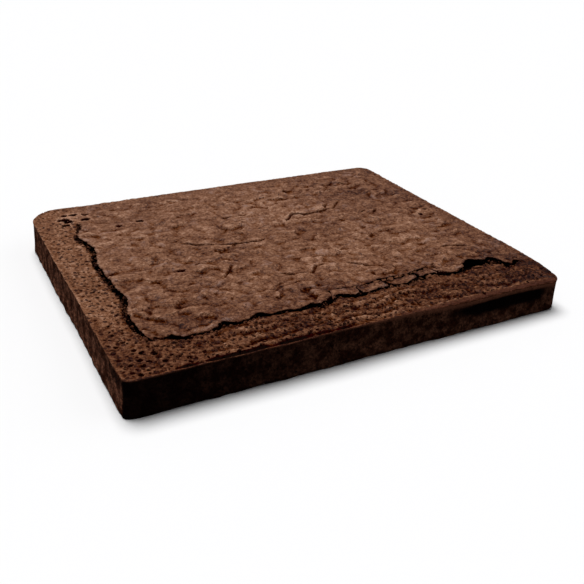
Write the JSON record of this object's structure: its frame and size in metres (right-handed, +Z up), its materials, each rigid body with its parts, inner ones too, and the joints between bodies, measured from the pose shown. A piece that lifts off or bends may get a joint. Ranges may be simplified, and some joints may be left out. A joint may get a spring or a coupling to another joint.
{
  "type": "brownie slab",
  "caption": "Low rectangular tray-baked chocolate slab, uncut, with upright walls and a wrinkled crust torn along the front and left rim.",
  "frame": {"origin": "centre of the slab's box, on the flat underside it rests on", "axes": "+X along the long side, towards the right end seen from the torn front; +Y towards the back; +Z up"},
  "size_m": [0.3078, 0.2555, 0.0257],
  "materials": {
    "baked_crust": "baked chocolate crust, rough, dark brown, with a faint sheen on the risen middle"
  },
  "bodies": {
    "root": {"brownie_slab": "baked_crust"}
  },
  "joints": []
}
